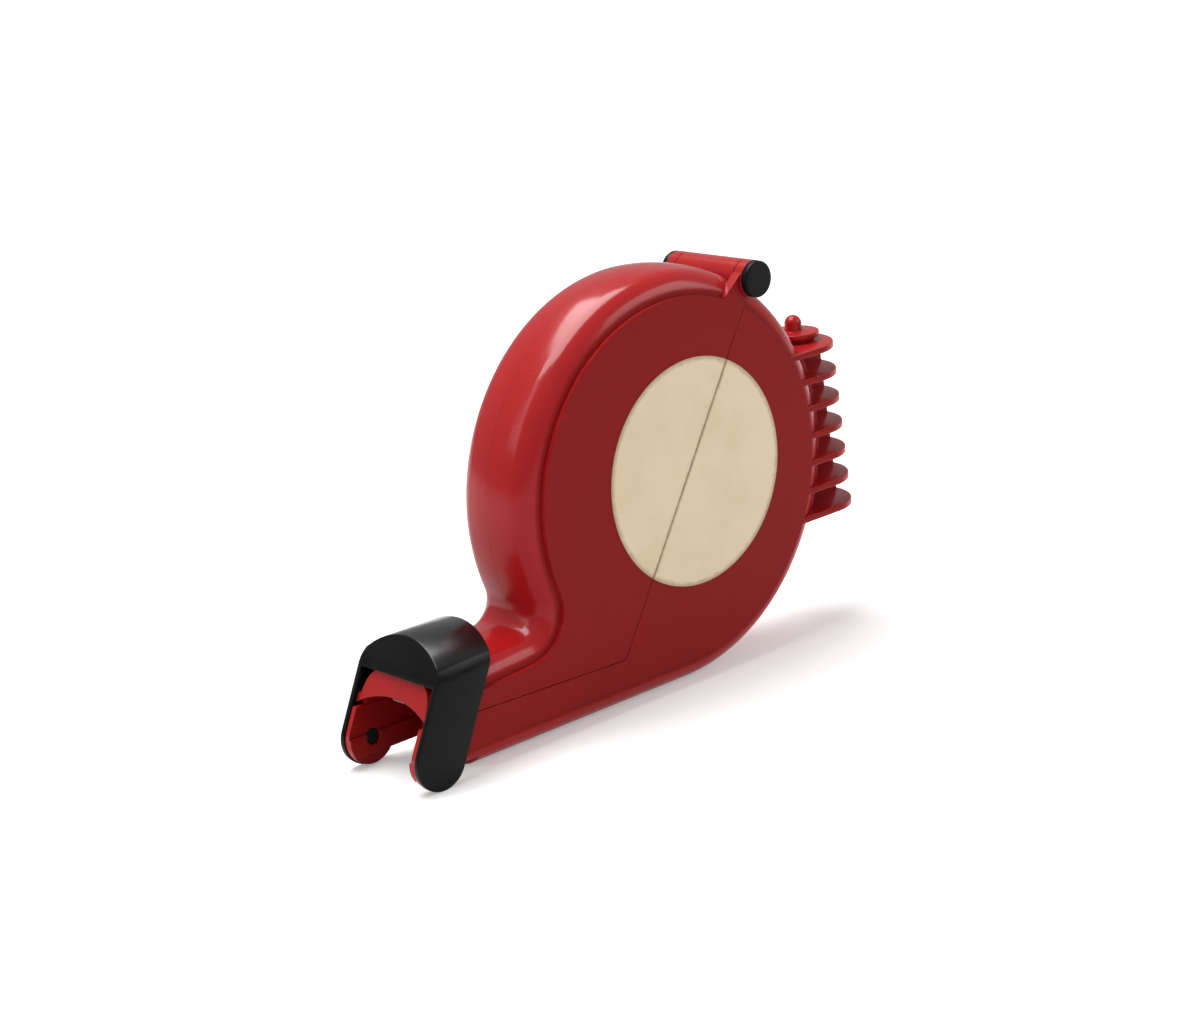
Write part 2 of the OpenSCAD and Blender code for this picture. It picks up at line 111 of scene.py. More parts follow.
def add(tree, kind, settings=None, **inputs):
    """A node with its settings and inputs; i0, i1 and so on name an input by its number."""
    node = tree.nodes.new(kind)
    for key, value in (settings or {}).items():
        setattr(node, key, value)
    for key, value in inputs.items():
        by_number = key[0] == "i" and key[1:].isdigit()
        socket = node.inputs[int(key[1:]) if by_number else key]
        if isinstance(value, bpy.types.NodeSocket):
            tree.links.new(value, socket)
        else:
            socket.default_value = value
    return node


def math_node(tree, operation, a, b=0.0, clamp=False):
    """One step of arithmetic, as an output socket."""
    node = add(tree, "ShaderNodeMath", {"operation": operation, "use_clamp": clamp}, i0=a, i1=b)
    return node.outputs[0]


def multiply(tree, a, b):
    """Two numbers multiplied, the commonest step of all."""
    return math_node(tree, "MULTIPLY", a, b)


def ramp(tree, value, low, high, out_low=0.0, out_high=1.0):
    """The value read between low and high, and put out between out_low and out_high."""
    ends = {"From Min": low, "From Max": high, "To Min": out_low, "To Max": out_high}
    node = add(tree, "ShaderNodeMapRange", {"interpolation_type": "SMOOTHSTEP"},
               Value=value, **ends)
    return node.outputs["Result"]


print("node helpers ready")

# %% Places, noise and colours


def in_object(tree):
    """The place on the piece in its own coordinates, in metres."""
    return tree.nodes.new("ShaderNodeTexCoord").outputs["Object"]


def axes(tree, vector):
    """The X, Y and Z of a vector, as sockets by name."""
    return add(tree, "ShaderNodeSeparateXYZ", Vector=vector).outputs


def from_axis(tree, x, z):
    """How far a point is from an axis that runs across the object."""
    squares = math_node(tree, "ADD", multiply(tree, x, x), multiply(tree, z, z))
    return math_node(tree, "SQRT", squares)


def noise(tree, place, scale, detail, roughness=0.5, distortion=0.0):
    """A cloud of noise between 0 and 1."""
    node = add(tree, "ShaderNodeTexNoise", Vector=place, Scale=scale, Detail=detail,
               Roughness=roughness, Distortion=distortion)
    return node.outputs["Fac"]


def linear(red, green, blue):
    """A chart colour from 0 to 255 as linear RGBA."""
    def one(v):
        v /= 255.0
        return v / 12.92 if v <= 0.04045 else ((v + 0.055) / 1.055) ** 2.4
    return (one(red), one(green), one(blue), 1.0)


def mix_colour(tree, amount, a, b):
    """Two colours mixed by an amount; inputs 6 and 7 are the node's pair for colours."""
    node = add(tree, "ShaderNodeMix", {"data_type": "RGBA"}, i0=amount, i6=a, i7=b)
    return node.outputs[2]


def tint(tree, colour, mask, share, other):
    """A colour with a share of another one laid over it where the mask is."""
    return mix_colour(tree, multiply(tree, mask, share), colour, other)


print("half grey on the chart is", round(linear(128, 128, 128)[0], 3), "in linear light")

# %% [markdown]
# ## Shared effect: moulded grain
# Injection-moulded plastic is never quite flat. It has a fine orange-peel skin, slow waves where
# the melt shrank, and a slight drift in tone. All three come from noise in object coordinates, so
# that the pattern is fixed in the piece and has its real size in millimetres. The group is built
# once, and every plastic below places it with its own numbers.

# %% Moulded grain group


def new_group(name, inputs, outputs):
    """An empty shader group with named sockets; returns the group, its inputs and its end."""
    group = bpy.data.node_groups.new(name, "ShaderNodeTree")
    for label, kind, value in inputs:
        socket = group.interface.new_socket(name=label, in_out="INPUT", socket_type=kind)
        socket.default_value = value
    for label, kind in outputs:
        group.interface.new_socket(name=label, in_out="OUTPUT", socket_type=kind)
    given = group.nodes.new("NodeGroupInput").outputs
    return group, given, group.nodes.new("NodeGroupOutput").inputs


SCUFF_SLANT = (0.0, 0.6, 0.0)
SCUFF_STRETCH = (60.0, 60.0, 900.0)


def build_grain():
    """Noise at three sizes: skin, slow waves, and long thin scuffs from handling."""
    group, given, end = new_group(
        "moulded_grain",
        [("Skin Scale", "NodeSocketFloat", 900.0), ("Wave Scale", "NodeSocketFloat", 28.0),
         ("Wave Share", "NodeSocketFloat", 0.5)],
        [("Height", "NodeSocketFloat"), ("Tone", "NodeSocketFloat"),
         ("Scuff", "NodeSocketFloat")])
    place = in_object(group)
    skin = noise(group, place, given["Skin Scale"], 3.0, 0.55)
    wave = noise(group, place, given["Wave Scale"], 2.0, 0.5, 0.4)
    skin_share = math_node(group, "SUBTRACT", 1.0, given["Wave Share"])
    height = math_node(group, "ADD", multiply(group, wave, given["Wave Share"]),
                       multiply(group, skin, skin_share))
    group.links.new(height, end["Height"])
    group.links.new(wave, end["Tone"])
    along = add(group, "ShaderNodeMapping", Vector=place, Rotation=SCUFF_SLANT,
                Scale=SCUFF_STRETCH).outputs[0]
    line = ramp(group, noise(group, along, 1.0, 4.0, 0.7), 0.60, 0.72)
    patch = ramp(group, noise(group, place, 22.0, 1.0), 0.52, 0.66)
    group.links.new(multiply(group, line, patch), end["Scuff"])
    return group


grain = build_grain()
print("grain group:", len(grain.nodes), "nodes")

# %% [markdown]
# ## Shared effect: soft edges and edge wear
# The edges of a moulded piece are rounded by a few tenths of a millimetre, and hands polish them
# paler. The Bevel node looks round each edge of the mesh and bends the normal there. Where the
# bent normal and the true one differ, there is an edge, and the same number is a mask for wear. It
# needs no extra geometry.

# %% Soft edge group


def build_edge():
    """The bevelled normal, and a mask of the edges that noise breaks up."""
    group, given, end = new_group(
        "soft_edge",
        [("Radius", "NodeSocketFloat", 0.0004), ("Wear Scale", "NodeSocketFloat", 160.0)],
        [("Normal", "NodeSocketVector"), ("Wear", "NodeSocketFloat")])
    bent = add(group, "ShaderNodeBevel", {"samples": 6}, Radius=given["Radius"]).outputs[0]
    true = group.nodes.new("ShaderNodeNewGeometry").outputs["Normal"]
    alike = add(group, "ShaderNodeVectorMath", {"operation": "DOT_PRODUCT"}, i0=bent, i1=true)
    mask = ramp(group, alike.outputs["Value"], 0.70, 0.995, 1.0, 0.0)
    broken = ramp(group, noise(group, in_object(group), given["Wear Scale"], 3.0), 0.42, 0.68)
    group.links.new(bent, end["Normal"])
    group.links.new(multiply(group, mask, broken), end["Wear"])
    return group


edge = build_edge()
print("edge group:", len(edge.nodes), "nodes")


# %% [markdown]
# ## Starting a finish
# Each finish starts in the same way: a material with a Principled shader, its fixed numbers set on
# the shader's own sockets. Only what changes over the surface is linked.

# %% Start a finish


def start_finish(name, fixed):
    """A material with its fixed values; returns the material, its tree and its shader."""
    material = bpy.data.materials.new(name)
    material.use_nodes = True
    shader = material.node_tree.nodes["Principled BSDF"]
    for key, value in fixed.items():
        shader.inputs[key].default_value = value
    return material, material.node_tree, shader


def place_group(tree, group, **values):
    """A shared group inside a material with its own values; returns its outputs."""
    node = tree.nodes.new("ShaderNodeGroup")
    node.node_tree = group
    for key, value in values.items():
        node.inputs[key.replace("_", " ")].default_value = value
    return node.outputs


def feed(tree, shader, **changing):
    """Links what changes over the surface into the shader, by input name."""
    for key, value in changing.items():
        tree.links.new(value, shader.inputs[key.replace("_", " ")])


def raise_surface(tree, shader, height, distance, strength, normal=None):
    """A bump from a height, on top of a normal that is already bent, into the shader."""
    bump = add(tree, "ShaderNodeBump", Height=height, Distance=distance, Strength=strength)
    if normal is not None:
        tree.links.new(normal, bump.inputs["Normal"])
    feed(tree, shader, Normal=bump.outputs["Normal"])


print("finish helpers ready")

# %% [markdown]
# ## Finish: red moulded plastic
# The case is one red plastic with two skins. The rounded rim and the nose are polished in the
# mould and show the lamps; the flat side panels are satin, and their red is painted darker and
# even, as painted shade. Which skin a point has follows from the way it faces, so the object-space
# normal chooses between them: a panel faces straight across. The polish itself is a thin clear
# coat on the rim, thickest where hands reach it from above. The halves of the case meet on the
# middle line of the rim, where a thin dirty line shows.

# %% Red plastic
RED_DEEP = linear(158, 20, 23)
RED_BRIGHT = linear(178, 28, 30)
# The panels' red below is painted darker than the rim's red, as painted shade.
PANEL_SHADED_DEEP = linear(130, 13, 13)
PANEL_SHADED_BRIGHT = linear(143, 17, 16)
RED_WORN = linear(200, 76, 72)
PARTING_DIRT = linear(86, 12, 14)
FACES_ACROSS = (0.93, 0.995)
FROM_ABOVE = (-0.2, 0.6)
LEAST_POLISH = 0.06
PARTING_WIDTH = (0.00008, 0.00030)
FRONT_X = (-0.129, -0.128)


def red_plastic(name, rim_rough, panel_rough, rim_polish, parting_line):
    """Polished rim, satin panels in a red painted darker as shade, paler worn edges and, if asked
    for, the parting line.
    """
    material, tree, shader = start_finish(
        name, {"Specular IOR Level": 0.11, "IOR": 1.5, "Coat Roughness": 0.14})
    skin = place_group(tree, grain, Skin_Scale=1100.0, Wave_Scale=24.0, Wave_Share=0.45)
    soft = place_group(tree, edge, Radius=0.00045, Wear_Scale=140.0)
    coords = tree.nodes.new("ShaderNodeTexCoord").outputs
    facing = axes(tree, coords["Normal"])
    panel = ramp(tree, math_node(tree, "ABSOLUTE", facing["Y"]), *FACES_ACROSS)
    rim_colour = mix_colour(tree, skin["Tone"], RED_DEEP, RED_BRIGHT)
    # Painted shade: where a face looks straight across, its red is painted darker than the rim's.
    panel_shaded_colour = mix_colour(tree, skin["Tone"], PANEL_SHADED_DEEP, PANEL_SHADED_BRIGHT)
    colour = mix_colour(tree, panel, rim_colour, panel_shaded_colour)
    colour = tint(tree, colour, soft["Wear"], 0.55, RED_WORN)
    colour = tint(tree, colour, skin["Scuff"], 0.07, RED_WORN)
    polish = ramp(tree, facing["Z"], *FROM_ABOVE, LEAST_POLISH, rim_polish)
    polish = multiply(tree, polish, ramp(tree, panel, 0.0, 1.0, 1.0, 0.0))
    rough = ramp(tree, panel, 0.0, 1.0, rim_rough, panel_rough)
    rough = math_node(tree, "ADD", rough, multiply(tree, skin["Scuff"], 0.06))
    rough = math_node(tree, "ADD", rough, multiply(tree, skin["Tone"], 0.05), True)
    if parting_line:
        place = axes(tree, coords["Object"])
        off = math_node(tree, "ABSOLUTE", place["Y"])
        line = ramp(tree, off, *PARTING_WIDTH, 1.0, 0.0)
        line = multiply(tree, line, ramp(tree, place["X"], *FRONT_X))
        colour = tint(tree, colour, line, 0.40, PARTING_DIRT)
    feed(tree, shader, Base_Color=colour, Roughness=rough, Coat_Weight=polish)
    raise_surface(tree, shader, skin["Height"], 0.00012, 0.35, soft["Normal"])
    return material


case_red = red_plastic("case_red_plastic", 0.24, 0.40, 0.70, True)
fitting_red = red_plastic("fitting_red_plastic", 0.38, 0.38, 0.50, False)
print("red plastics:", case_red.name, fitting_red.name)

# %% [markdown]
# ## Finish: black moulded plastic
# The hood and the small black fittings are a satin black, a little grey where hands and tickets
# rub. Black plastic shows its form only by reflection, so its roughness carries the whole finish:
# slow waves in it break up the long highlight along the hood's roof. Hands have polished what
# faces up, which shows as a thin coat there.

# %% Black plastic
BLACK_DEEP = linear(9, 9, 10)
BLACK_PALE = linear(17, 17, 18)
BLACK_WORN = linear(78, 76, 76)
BLACK_SCUFFED = linear(70, 68, 68)
FACES_UP = (0.35, 0.95)


def black_plastic(name, rough_low, rough_high, polish, wear):
    """Satin black, polished where it faces up and greyer at its edges and scuffs."""
    material, tree, shader = start_finish(
        name, {"Specular IOR Level": 0.11, "IOR": 1.5, "Coat Roughness": 0.22})
    facing = axes(tree, tree.nodes.new("ShaderNodeTexCoord").outputs["Normal"])
    skin = place_group(tree, grain, Skin_Scale=1500.0, Wave_Scale=40.0, Wave_Share=0.35)
    soft = place_group(tree, edge, Radius=0.00035, Wear_Scale=220.0)
    colour = mix_colour(tree, skin["Tone"], BLACK_DEEP, BLACK_PALE)
    colour = tint(tree, colour, soft["Wear"], wear, BLACK_WORN)
    colour = tint(tree, colour, skin["Scuff"], 0.2, BLACK_SCUFFED)
    rough = ramp(tree, skin["Tone"], 0.3, 0.7, rough_low, rough_high)
    rough = math_node(tree, "ADD", rough, multiply(tree, skin["Scuff"], 0.15), True)
    feed(tree, shader, Base_Color=colour, Roughness=rough,
         Coat_Weight=ramp(tree, facing["Z"], *FACES_UP, 0.0, polish))
    raise_surface(tree, shader, skin["Height"], 0.00010, 0.30, soft["Normal"])
    return material


hood_black = black_plastic("hood_black_plastic", 0.24, 0.36, 0.90, 0.45)
trim_black = black_plastic("trim_black_plastic", 0.40, 0.55, 0.30, 0.35)
print("black plastics:", hood_black.name, trim_black.name)

# %% [markdown]
# ## Finish: bright steel
# The hinge pin, the brake leaf and the small screws are plain steel wire and strip. Drawn and
# rolled steel has fine lines along its length. Stretching a noise along one axis gives them: the
# Mapping node scales that axis least, so the spots become streaks.

# %% Steel
STEEL_DARK = linear(158, 158, 160)
STEEL_BRIGHT = linear(196, 196, 198)
STEEL_DULL = linear(128, 122, 112)


def steel_finish(name, streak_scale):
    """Bare steel with streaks along the axis whose scale is smallest."""
    material, tree, shader = start_finish(name, {"Metallic": 1.0})
    place = in_object(tree)
    drawn = add(tree, "ShaderNodeMapping", Vector=place, Scale=streak_scale).outputs[0]
    streak = noise(tree, drawn, 1.0, 4.0, 0.6)
    cloud = noise(tree, place, 260.0, 2.0)
    soft = place_group(tree, edge, Radius=0.0002, Wear_Scale=400.0)
    colour = mix_colour(tree, streak, STEEL_DARK, STEEL_BRIGHT)
    colour = mix_colour(tree, ramp(tree, cloud, 0.55, 0.75, 0.0, 0.35), colour, STEEL_DULL)
    feed(tree, shader, Base_Color=colour, Roughness=ramp(tree, streak, 0.3, 0.7, 0.22, 0.40))
    raise_surface(tree, shader, streak, 0.00003, 0.4, soft["Normal"])
    return material


wire_steel = steel_finish("drawn_wire_steel", (4000.0, 150.0, 4000.0))
strip_steel = steel_finish("rolled_strip_steel", (120.0, 3500.0, 900.0))
print("steels:", wire_steel.name, strip_steel.name)

# %% [markdown]
# ## Finish: the round label, left bare
# A disc of coated paper is stuck over the seam and slit along it. It has aged to cream: cloudy
# stains, a faint fibre, and a browner edge where dirt creeps under the rim and beside the slit.
# Distance from the disc's centre gives the rim, and distance from the seam's line gives the slit.

# %% Aged label
LABEL_CENTRE = Vector((7.2, 0.0, 94.6)) * MM
LABEL_RADIUS = 50.0 * MM
DRUM_AXIS = Vector((0.0, 0.0, 91.6)) * MM
SEAM_ANGLE = math.radians(58.5)
LABEL_CREAM = linear(234, 215, 181)
LABEL_STAINED = linear(227, 207, 171)
LABEL_FIBRE = linear(236, 222, 194)
RIM_BROWN = linear(150, 118, 82)
SLIT_BROWN = linear(132, 108, 78)
EDGE_WOBBLE = 0.0028
RIM_BLUR = 0.0012
SLIT_BLUR = (-0.0009, 0.0010)
FIBRE_SLANT = (0.0, 0.5, 0.0)
FIBRE_STRETCH = (350.0, 350.0, 2200.0)


def label_finish():
    """Cream paper with stains and fibre, browner at its rim and along the slit."""
    material, tree, shader = start_finish("aged_cream_label", {
        "Specular IOR Level": 0.3, "Coat Weight": 0.08, "Coat Roughness": 0.35})
    place = in_object(tree)
    at = axes(tree, place)
    reach = from_axis(tree, math_node(tree, "SUBTRACT", at["X"], LABEL_CENTRE.x),
                      math_node(tree, "SUBTRACT", at["Z"], LABEL_CENTRE.z))
    wobble = multiply(tree, noise(tree, place, 300.0, 5.0, 0.6), EDGE_WOBBLE)
    rim = ramp(tree, math_node(tree, "ADD", reach, wobble),
               LABEL_RADIUS - RIM_BLUR, LABEL_RADIUS + RIM_BLUR)
    side_x = multiply(tree, at["X"], -math.sin(SEAM_ANGLE))
    side_z = multiply(tree, math_node(tree, "SUBTRACT", at["Z"], DRUM_AXIS.z),
                      math.cos(SEAM_ANGLE))
    seam = math_node(tree, "ABSOLUTE", math_node(tree, "ADD", side_x, side_z))
    slit = ramp(tree, math_node(tree, "ADD", seam, multiply(tree, wobble, -0.5)),
                *SLIT_BLUR, 1.0, 0.0)
    stain = noise(tree, place, 30.0, 3.0, 0.6)
    slanted = add(tree, "ShaderNodeMapping", Vector=place, Rotation=FIBRE_SLANT,
                  Scale=FIBRE_STRETCH).outputs[0]
    fibre = noise(tree, slanted, 1.0, 3.0)
    colour = mix_colour(tree, ramp(tree, stain, 0.35, 0.75), LABEL_CREAM, LABEL_STAINED)
    colour = mix_colour(tree, ramp(tree, fibre, 0.5, 0.8, 0.0, 0.25), colour, LABEL_FIBRE)
    colour = tint(tree, colour, rim, 0.55, RIM_BROWN)
    colour = tint(tree, colour, slit, 0.6, SLIT_BROWN)
    feed(tree, shader, Base_Color=colour, Roughness=ramp(tree, stain, 0.3, 0.8, 0.42, 0.62))
    raise_surface(tree, shader, fibre, 0.00003, 0.35)
    return material


cream_label = label_finish()
print("label finish:", cream_label.name)

# %% [markdown]
# ## Finish: ticket paper and card
# The tickets are thin uncoated paper. Seen from the side, the roll is hundreds of edges, and they
# show as rings about its axis: a wave of the distance from the axis, shaken a little by noise. The
# core is grey-brown card with closer rings, and the same function gives both.

# %% Paper and card
ROLL_AXIS = Vector((0.0, 0.0, 80.9)) * MM


def paper_finish(name, pale, dark, ring_pitch, fibre_scale):
    """A dark ring at every ring_pitch metres from the roll's axis, with fibre over it."""
    material, tree, shader = start_finish(name, {"Specular IOR Level": 0.25})
    place = in_object(tree)
    centred = add(tree, "ShaderNodeMapping", Vector=place,
                  Location=(-ROLL_AXIS.x, 0.0, -ROLL_AXIS.z)).outputs[0]
    at = axes(tree, centred)
    shake = multiply(tree, noise(tree, place, 90.0, 2.0), ring_pitch)
    shaken = math_node(tree, "ADD", from_axis(tree, at["X"], at["Z"]), shake)
    wave = math_node(tree, "SINE", multiply(tree, shaken, 2.0 * math.pi / ring_pitch))
    ring = ramp(tree, wave, -1.0, 1.0)
    fibre = noise(tree, place, fibre_scale, 4.0)
    colour = tint(tree, pale, ring, 0.45, dark)
    colour = mix_colour(tree, ramp(tree, fibre, 0.45, 0.8, 0.0, 0.4), colour, dark)
    feed(tree, shader, Base_Color=colour, Roughness=ramp(tree, fibre, 0.3, 0.7, 0.75, 0.92))
    raise_surface(tree, shader, math_node(tree, "ADD", ring, fibre), 0.00008, 0.5)
    return material


ticket_paper = paper_finish(
    "ticket_paper", linear(232, 228, 216), linear(196, 188, 170), 0.0016, 1400.0)
core_card = paper_finish(
    "core_card", linear(168, 136, 100), linear(126, 98, 68), 0.0009, 900.0)
print("papers:", ticket_paper.name, core_card.name)

# %% [markdown]
# ## Finishes onto the solids
# Most solids are right as they are and only need their finish. A table says which finish each
# takes. The solid keeps its own mesh, and its material slot is pointed at the new material.

# %% Dress the solids
FINISH = {
    "base_near": case_red, "base_far": case_red, "cover_near": case_red, "cover_far": case_red,
    "hinge_pin": wire_steel, "hinge_cap_near": trim_black, "hinge_cap_far": trim_black,
    "hood": hood_black, "hood_studs": trim_black,
    "mount_block": fitting_red, "mount_pin": fitting_red, "mount_screws": wire_steel,
    "label_cover": cream_label, "label_base": cream_label,
    "ticket_roll": ticket_paper, "roll_core": core_card, "ticket_strip": ticket_paper,
    "strip_guide": trim_black, "brake_leaf": strip_steel, "brake_rivets": wire_steel,
    "cover_dowels": wire_steel, "base_dowels": wire_steel,
}
for node_name, finish in FINISH.items():
    mesh = NODES[node_name].data
    mesh.materials.clear()
    mesh.materials.append(finish)
missing = sorted(set(NODES) - set(FINISH))
print("dressed:", len(FINISH), "solids, left over:", missing)

# %% [markdown]
# ## Real soft edges where the light needs them
# The hood, the collar and the end caps are seen edge on, and an edge that only pretends to be
# round gives itself away in its outline. These pieces are made again from their solids: the loose
# triangles are joined, flat areas are cleaned up, and a Bevel modifier rounds each sharp edge by a
# few tenths of a millimetre. A bevel only takes material away, so the piece stays inside the
# solid's box.

# %% Soften a solid
WELD = 0.000002
SMOOTH_BELOW = math.radians(32.0)
BEVEL_ABOVE = math.radians(38.0)


def join_triangles(mesh, flat_within=0.6):
    """Welds loose triangles and clears the lines that cross flat areas."""
    work = bmesh.new()
    work.from_mesh(mesh)
    bmesh.ops.remove_doubles(work, verts=work.verts, dist=WELD)
    bmesh.ops.dissolve_limit(work, angle_limit=math.radians(flat_within), verts=work.verts,
                             edges=work.edges)
    work.to_mesh(mesh)
    work.free()


def round_edges(piece, width, segments, miter):
    """A Bevel modifier on the piece's sharp edges."""
    bevel = piece.modifiers.new("rounded_edges", "BEVEL")
    bevel.width = width
    bevel.segments = segments
    bevel.limit_method = "ANGLE"
    bevel.angle_limit = BEVEL_ABOVE
    bevel.miter_outer = miter


def freeze(piece):
    """Turns the modifiers' result into the piece's own mesh and clears them."""
    evaluated = piece.evaluated_get(bpy.context.evaluated_depsgraph_get())
    piece.data = bpy.data.meshes.new_from_object(evaluated)
    piece.modifiers.clear()
    piece.data.name = piece.name


def put_in_place(piece, node):
    """Smooth faces, the node's finish, and the node's place in the object."""
    for polygon in piece.data.polygons:
        polygon.use_smooth = True
    piece.data.set_sharp_from_angle(angle=SMOOTH_BELOW)
    piece.data.materials.clear()
    piece.data.materials.append(FINISH[node])
    body = next(body for body, members in BODIES.items() if node in members)
    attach(piece, body)
    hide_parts(node)


def soften(node, name, width, segments, keep_inside=None):
    """A copy of a solid with rounded edges, cut to the keep_inside form if one is given."""
    mesh = NODES[node].data.copy()
    join_triangles(mesh)
    piece = new_object(name, mesh)
    if keep_inside is not None:
        trim = piece.modifiers.new("keep_inside", "BOOLEAN")
        trim.operation = "INTERSECT"
        trim.solver = "EXACT"
        trim.object = keep_inside
        freeze(piece)
        join_triangles(piece.data, 0.3)
    round_edges(piece, width, segments, "MITER_ARC")
    freeze(piece)
    put_in_place(piece, node)
    return piece


print("softening helpers ready")

# %% [markdown]
# ## The hood's rounded shoulders
# Seen from the front, the hood's roof runs into its legs over rounded shoulders. The solid has the
# roof's arc and the legs, and meets them in a corner. An outline with the shoulders is drawn here
# from two arcs that share a tangent, extruded along the object, and the hood is cut to what lies
# inside it.

# %% Shoulder outline, in millimetres
HOOD_HALF = 25.45
SHOULDER_Z = 43.0
SHOULDER_R = 11.0
ROOF_R = 37.4
SKIN = 0.05
BELOW_LEGS = -5.0
HOOD_SPAN = (-200.0, -80.0)
SHOULDER_STEPS = 14
ROOF_STEPS = 40


def arc(centre_y, centre_z, radius, start, end, steps):
    """Points of an arc in the plane across the object, angles in degrees from +Y."""
    turns = [math.radians(start + (end - start) * k / steps) for k in range(steps + 1)]
    return [(centre_y + radius * math.cos(t), centre_z + radius * math.sin(t)) for t in turns]


def shoulder_outline():
    """Closed outline: a leg, a shoulder, the roof, the other shoulder and the other leg."""
    inset = HOOD_HALF - SHOULDER_R
    roof_z = SHOULDER_Z - math.sqrt((ROOF_R - SHOULDER_R) ** 2 - inset ** 2)
    lean = math.degrees(math.atan2(SHOULDER_Z - roof_z, inset))
    points = [(HOOD_HALF + SKIN, BELOW_LEGS)]
    points += arc(inset, SHOULDER_Z, SHOULDER_R + SKIN, 0.0, lean, SHOULDER_STEPS)
    points += arc(0.0, roof_z, ROOF_R + SKIN, lean, 180.0 - lean, ROOF_STEPS)[1:-1]
    points += arc(-inset, SHOULDER_Z, SHOULDER_R + SKIN, 180.0 - lean, 180.0, SHOULDER_STEPS)
    points += [(-HOOD_HALF - SKIN, BELOW_LEGS)]
    return points


print("shoulder outline:", len(shoulder_outline()), "points")

# %% The hood


def from_bmesh(name, work):
    """Puts a bmesh into a new object."""
    mesh = bpy.data.meshes.new(name)
    work.to_mesh(mesh)
    work.free()
    return new_object(name, mesh)


def prism(name, outlines):
    """A closed solid between two equal outlines, their points in millimetres."""
    work = bmesh.new()
    first, last = [[work.verts.new(Vector(point) * MM) for point in line] for line in outlines]
    work.faces.new(first)
    work.faces.new(list(reversed(last)))
    for k in range(len(first)):
        n = (k + 1) % len(first)
        work.faces.new((first[n], first[k], last[k], last[n]))
    bmesh.ops.recalc_face_normals(work, faces=work.faces)
    return from_bmesh(name, work)


shoulder_form = prism("shoulder_form",
                      [[(x, y, z) for y, z in shoulder_outline()] for x in HOOD_SPAN])
soft_hood = soften("hood", "soft_hood", 0.0005, 3, shoulder_form)
bpy.data.objects.remove(shoulder_form)
print("hood faces:", len(soft_hood.data.polygons))

# %% [markdown]
# ## The collar with its pin, and the end caps
# A collar with a domed pin stands on the top fin, and two black caps close the hinge barrel. All
# three are round, and their rims catch a thin line of light. They could be turned again from a
# profile, but the solids already have their form, so it is enough to round the edges of a copy.

# %% Soften the collar and the caps
softened = [
    soften("mount_pin", "soft_mount_pin", 0.0004, 3),
    soften("hinge_cap_near", "soft_cap_near", 0.0003, 2),
    soften("hinge_cap_far", "soft_cap_far", 0.0003, 2),
]
print("softened:", {piece.name: len(piece.data.polygons) for piece in softened})

# %% [markdown]
# ## What repeats: pins, rivets and screws
# Two screws hold the fins, two rivets hold the brake leaf and six dowels line up the halves of the
# case. They are one idea at different sizes: a round shank, a tip that narrows, and a head that
# steps out. A Geometry Nodes tree describes that idea once, with named inputs for its sizes. It
# starts from a cylinder, pushes faces out with Extrude Mesh and sizes them with Scale Elements, so
# each pin is one closed skin. The tree then puts a pin on every point it is given, and Realize
# Instances turns the copies into real mesh.

# %% Geometry tree helpers


def new_geometry_tree(name, inputs):
    """An empty Geometry Nodes tree; returns the tree, its inputs and its end."""
    tree = bpy.data.node_groups.new(name, "GeometryNodeTree")
    tree.is_modifier = True
    sockets = tree.interface
    sockets.new_socket(name="Geometry", in_out="INPUT", socket_type="NodeSocketGeometry")
    for label, kind, value in inputs:
        socket = sockets.new_socket(name=label, in_out="INPUT", socket_type=kind)
        if value is not None:
            socket.default_value = value
    sockets.new_socket(name="Geometry", in_out="OUTPUT", socket_type="NodeSocketGeometry")
    given = tree.nodes.new("NodeGroupInput").outputs
    return tree, given, tree.nodes.new("NodeGroupOutput").inputs


def close_tree(tree, geometry, material, end):
    """Ends a tree in real mesh with its material, because the export drops instances."""
    real = add(tree, "GeometryNodeRealizeInstances", Geometry=geometry)
    painted = add(tree, "GeometryNodeSetMaterial", Geometry=real.outputs["Geometry"],
                  Material=material)
    tree.links.new(painted.outputs["Geometry"], end["Geometry"])


def grow(name, places):
    """An object whose mesh is only points, in millimetres, for a tree to build on."""
    mesh = bpy.data.meshes.new(name)
    mesh.from_pydata([Vector(place) * MM for place in places], [], [])
    return new_object(name, mesh)


def run_tree(piece, tree, values):
    """Adds a tree to an object and sets its inputs through each socket's identifier."""
    modifier = piece.modifiers.new(tree.name, "NODES")
    modifier.node_group = tree
    for item in tree.interface.items_tree:
        if item.item_type == "SOCKET" and item.in_out == "INPUT" and item.name in values:
            modifier[item.identifier] = values[item.name]


def push_faces(tree, mesh, chosen, distance, scale):
    """Extrudes faces by a distance and sizes them; returns the mesh and its new end faces."""
    pushed = add(tree, "GeometryNodeExtrudeMesh", {"mode": "FACES"}, Mesh=mesh, Selection=chosen,
                 Individual=False, **{"Offset Scale": distance})
    sized = add(tree, "GeometryNodeScaleElements", {"domain": "FACE"},
                Geometry=pushed.outputs["Mesh"], Selection=pushed.outputs["Top"], Scale=scale)
    return sized.outputs["Geometry"], pushed.outputs["Top"]


print("geometry helpers ready")

# %% The tree of headed pins
TIP_NARROWS = 0.7
HEAD_WALL, HEAD_DOME, DOME_NARROWS = 0.6, 0.4, 0.75


